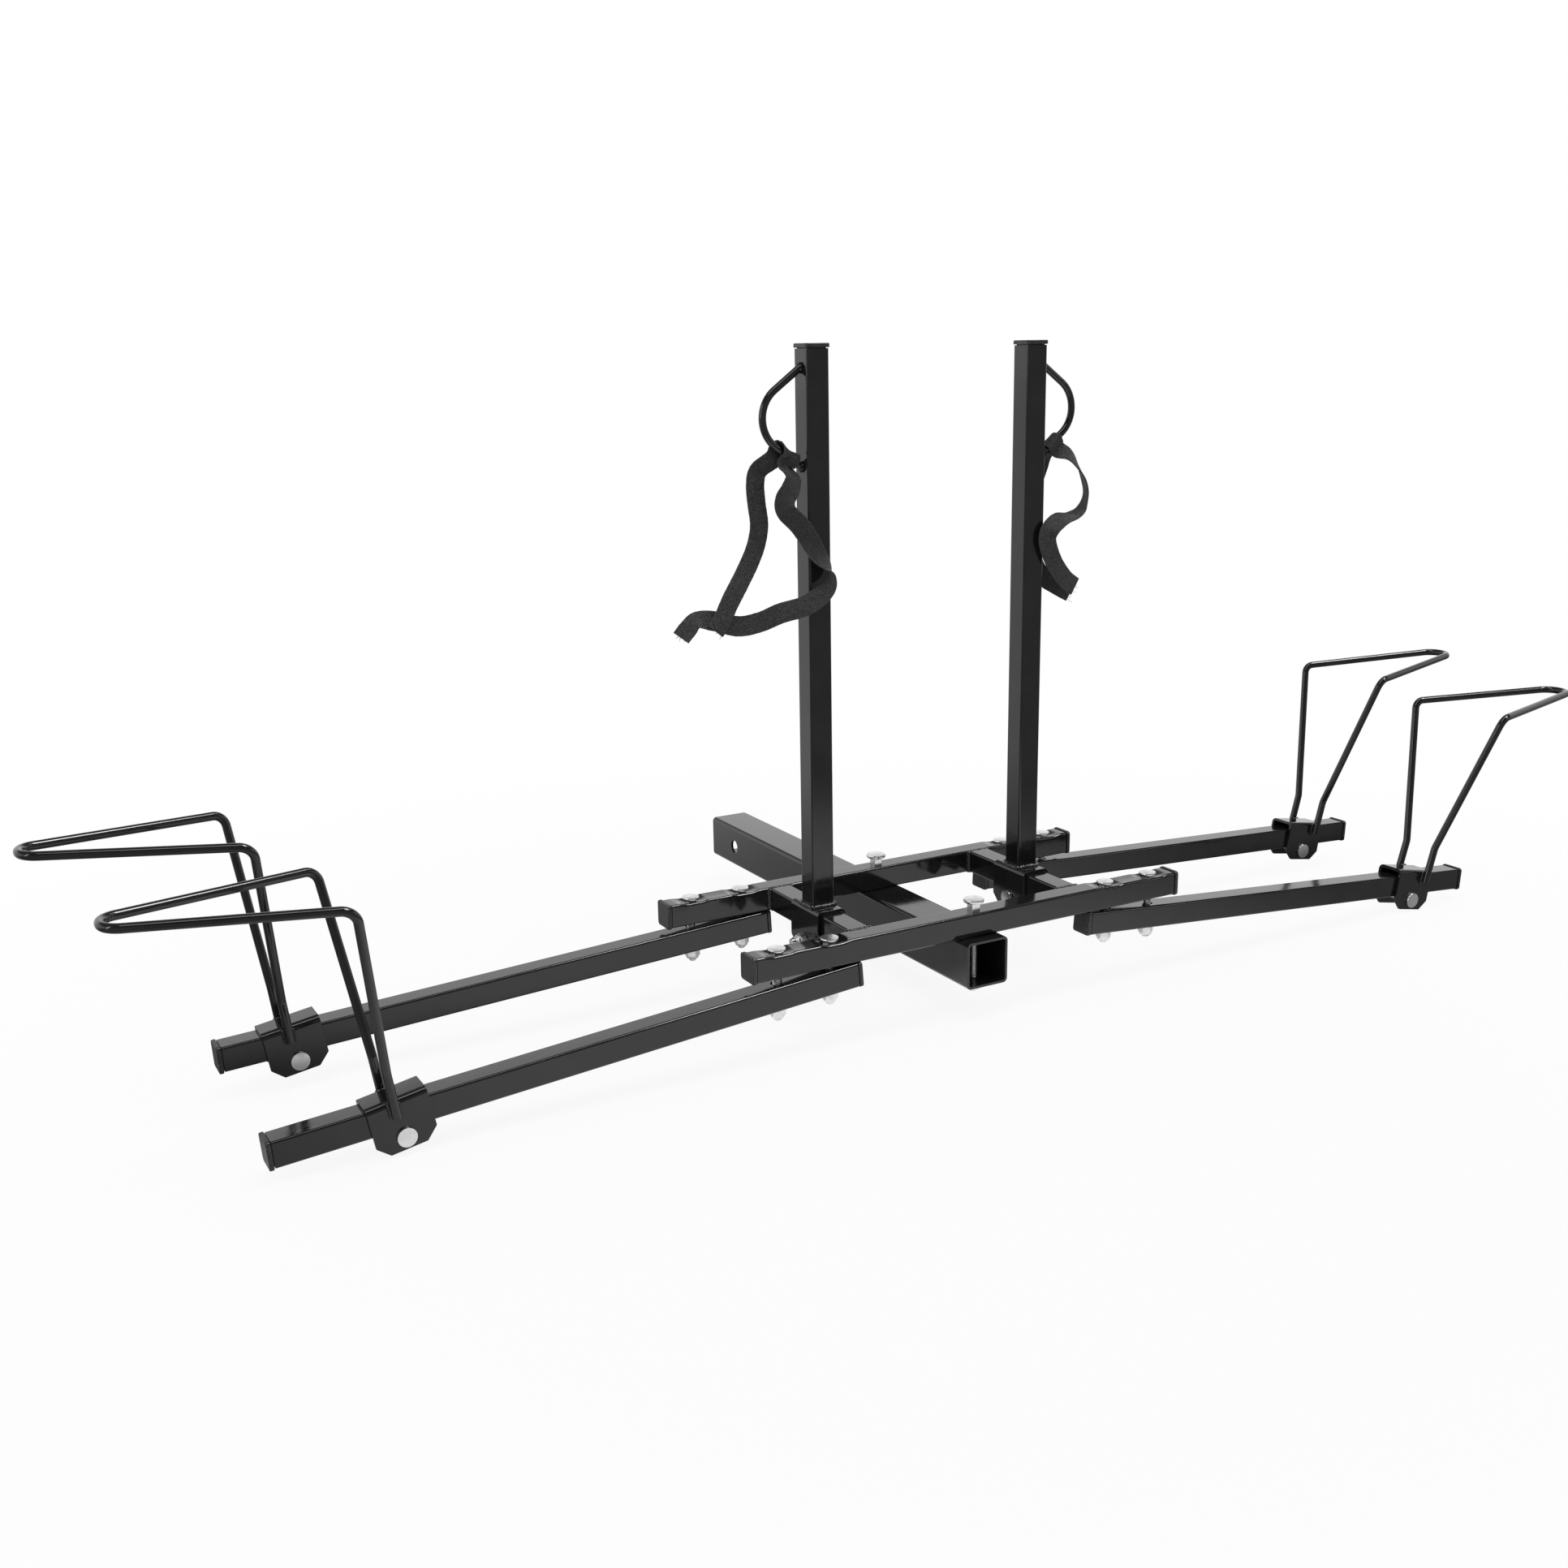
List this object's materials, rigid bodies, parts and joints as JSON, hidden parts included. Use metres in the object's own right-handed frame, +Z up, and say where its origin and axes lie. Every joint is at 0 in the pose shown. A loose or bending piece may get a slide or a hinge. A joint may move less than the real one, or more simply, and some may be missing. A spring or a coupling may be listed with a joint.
{
  "type": "hitch bike rack",
  "caption": "Hitch mounted platform bike rack with sliding wheel loops on drooping arms and strap masts that hold the bike frames upright.",
  "frame": {"origin": "centre of the hitch pin hole, on the hitch bar's centreline", "axes": "+X to the right along the arms, +Y along the hitch bar towards the vehicle, +Z up"},
  "size_m": [1.8001, 0.6198, 0.6857],
  "materials": {
    "paint": "gloss powder coat",
    "cap": "satin",
    "zinc": "bright zinc plate",
    "nut": "zinc plate",
    "webbing": "hook and loop webbing"
  },
  "bodies": {
    "frame": {"hitch_bar": "paint", "crossbar_front": "paint", "crossbar_rear": "paint", "cross_tube_left": "paint", "cross_tube_right": "paint", "frame_welds": "paint", "crossbar_caps": "cap", "arm_front_left": "paint", "arm_front_right": "paint", "arm_rear_left": "paint", "arm_rear_right": "paint", "arm_outer_caps": "cap", "arm_inner_caps": "cap", "arm_bolts": "zinc", "arm_nuts": "nut", "hitch_bolts": "zinc", "hitch_nuts": "nut"},
    "mast_clamp_left": {"mast_left": "paint", "mast_cap_left": "cap", "mast_saddle_left": "paint", "mast_weld_left": "paint", "mast_bolt_left": "zinc", "mast_nut_left": "nut", "strap_ring_left": "paint", "strap_left": "webbing"},
    "mast_clamp_right": {"mast_right": "paint", "mast_cap_right": "cap", "mast_saddle_right": "paint", "mast_weld_right": "paint", "mast_bolt_right": "zinc", "mast_nut_right": "nut", "strap_ring_right": "paint", "strap_right": "webbing"},
    "wheel_loop_front_left": {"loop_front_left": "paint", "loop_saddle_front_left": "paint", "loop_weld_front_left": "paint", "loop_bolt_front_left": "zinc", "loop_nut_front_left": "nut"},
    "wheel_loop_front_right": {"loop_front_right": "paint", "loop_saddle_front_right": "paint", "loop_weld_front_right": "paint", "loop_bolt_front_right": "zinc", "loop_nut_front_right": "nut"},
    "wheel_loop_rear_left": {"loop_rear_left": "paint", "loop_saddle_rear_left": "paint", "loop_weld_rear_left": "paint", "loop_bolt_rear_left": "zinc", "loop_nut_rear_left": "nut"},
    "wheel_loop_rear_right": {"loop_rear_right": "paint", "loop_saddle_rear_right": "paint", "loop_weld_rear_right": "paint", "loop_bolt_rear_right": "zinc", "loop_nut_rear_right": "nut"}
  },
  "joints": [
    {"name": "mast_slide_left", "type": "slide", "parent": "frame", "child": "mast_clamp_left", "axis": [0, 1, 0], "range_m": [-0.045, 0.045]},
    {"name": "mast_slide_right", "type": "slide", "parent": "frame", "child": "mast_clamp_right", "axis": [0, 1, 0], "range_m": [-0.045, 0.045]},
    {"name": "loop_slide_front_left", "type": "slide", "parent": "frame", "child": "wheel_loop_front_left", "axis": [-0.9968, 0, -0.0802], "range_m": [-0.3043, 0.077]},
    {"name": "loop_slide_front_right", "type": "slide", "parent": "frame", "child": "wheel_loop_front_right", "axis": [0.9968, 0, -0.0802], "range_m": [-0.3313, 0.05]},
    {"name": "loop_slide_rear_left", "type": "slide", "parent": "frame", "child": "wheel_loop_rear_left", "axis": [-0.9986, 0, -0.0523], "range_m": [-0.3483, 0.033]},
    {"name": "loop_slide_rear_right", "type": "slide", "parent": "frame", "child": "wheel_loop_rear_right", "axis": [0.9986, 0, -0.0523], "range_m": [-0.3403, 0.041]}
  ]
}
